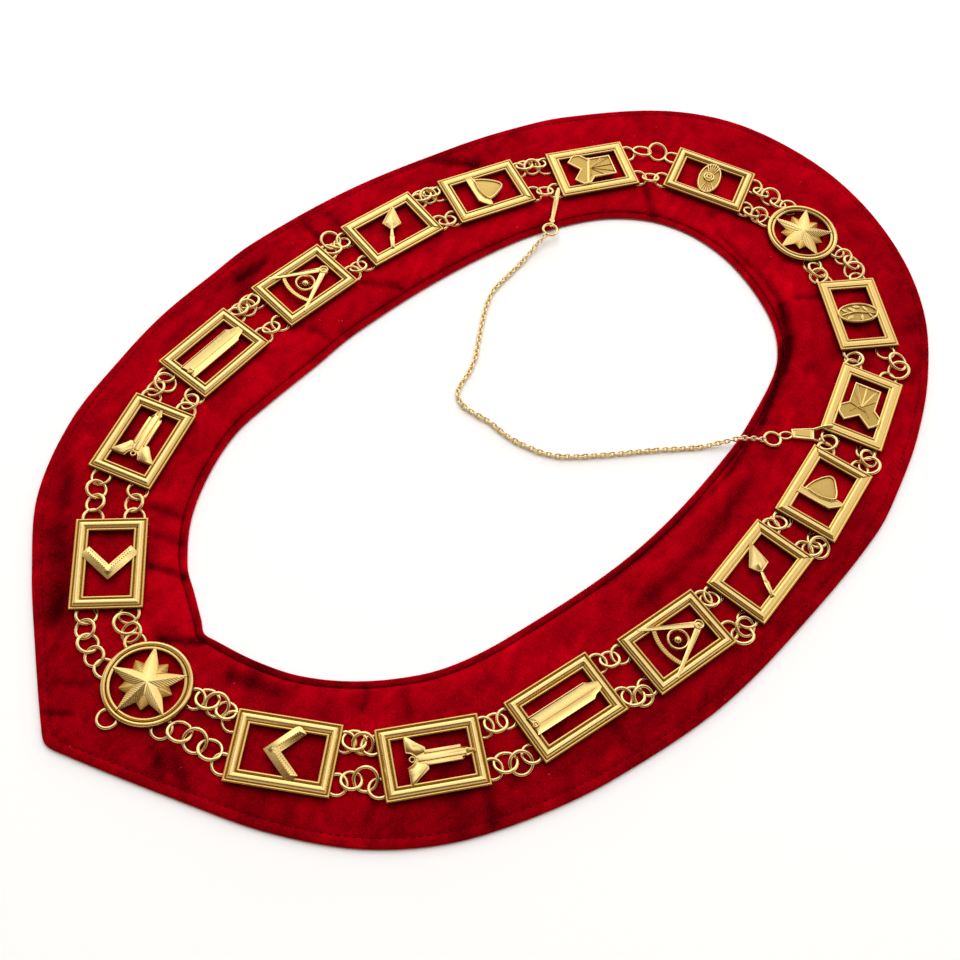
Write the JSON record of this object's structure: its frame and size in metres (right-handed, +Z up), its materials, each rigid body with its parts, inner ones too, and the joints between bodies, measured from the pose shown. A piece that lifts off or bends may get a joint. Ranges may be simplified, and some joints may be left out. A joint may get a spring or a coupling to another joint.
{
  "type": "chain collar of office",
  "caption": "Padded velvet collar lying flat, dressed with openwork gilt medallions joined by strands of jump rings, with a fine neck chain across the opening.",
  "frame": {"origin": "middle of the collar's own box in plan, at the height of the surface it lies on", "axes": "+Y from the pointed front to the rounded back, +X to the right of that seen from above, +Z up out of the velvet's face"},
  "size_m": [0.316, 0.4836, 0.009],
  "materials": {
    "velvet": "crimson velvet with a crushed nap",
    "gilt_metal": "bright gold plate on cast and wire metal",
    "neck_chain": "bright gold plate on fine chain"
  },
  "bodies": {
    "root": {"velvet_collar": "velvet", "star_front": "gilt_metal", "star_back": "gilt_metal", "left_1_square": "gilt_metal", "left_2_level": "gilt_metal", "left_3_plumb": "gilt_metal", "left_4_dividers": "gilt_metal", "left_5_trowel": "gilt_metal", "left_6_dome": "gilt_metal", "left_7_block": "gilt_metal", "left_8_oval": "gilt_metal", "right_1_square": "gilt_metal", "right_2_level": "gilt_metal", "right_3_plumb": "gilt_metal", "right_4_dividers": "gilt_metal", "right_5_trowel": "gilt_metal", "right_6_dome": "gilt_metal", "right_7_block": "gilt_metal", "right_8_oval": "gilt_metal", "rings_left_outer_1": "gilt_metal", "rings_left_outer_2": "gilt_metal", "rings_left_outer_3": "gilt_metal", "rings_left_outer_4": "gilt_metal", "rings_left_outer_5": "gilt_metal", "rings_left_outer_6": "gilt_metal", "rings_left_outer_7": "gilt_metal", "rings_left_outer_8": "gilt_metal", "rings_left_outer_9": "gilt_metal", "rings_left_inner_1": "gilt_metal", "rings_left_inner_2": "gilt_metal", "rings_left_inner_3": "gilt_metal", "rings_left_inner_4": "gilt_metal", "rings_left_inner_5": "gilt_metal", "rings_left_inner_6": "gilt_metal", "rings_left_inner_7": "gilt_metal", "rings_left_inner_8": "gilt_metal", "rings_left_inner_9": "gilt_metal", "rings_right_outer_1": "gilt_metal", "rings_right_outer_2": "gilt_metal", "rings_right_outer_3": "gilt_metal", "rings_right_outer_4": "gilt_metal", "rings_right_outer_5": "gilt_metal", "rings_right_outer_6": "gilt_metal", "rings_right_outer_7": "gilt_metal", "rings_right_outer_8": "gilt_metal", "rings_right_outer_9": "gilt_metal", "rings_right_inner_1": "gilt_metal", "rings_right_inner_2": "gilt_metal", "rings_right_inner_3": "gilt_metal", "rings_right_inner_4": "gilt_metal", "rings_right_inner_5": "gilt_metal", "rings_right_inner_6": "gilt_metal", "rings_right_inner_7": "gilt_metal", "rings_right_inner_8": "gilt_metal", "rings_right_inner_9": "gilt_metal", "jewel_ring": "gilt_metal", "neck_chain": "neck_chain", "clasp_left": "gilt_metal", "clasp_right": "gilt_metal"}
  },
  "joints": []
}
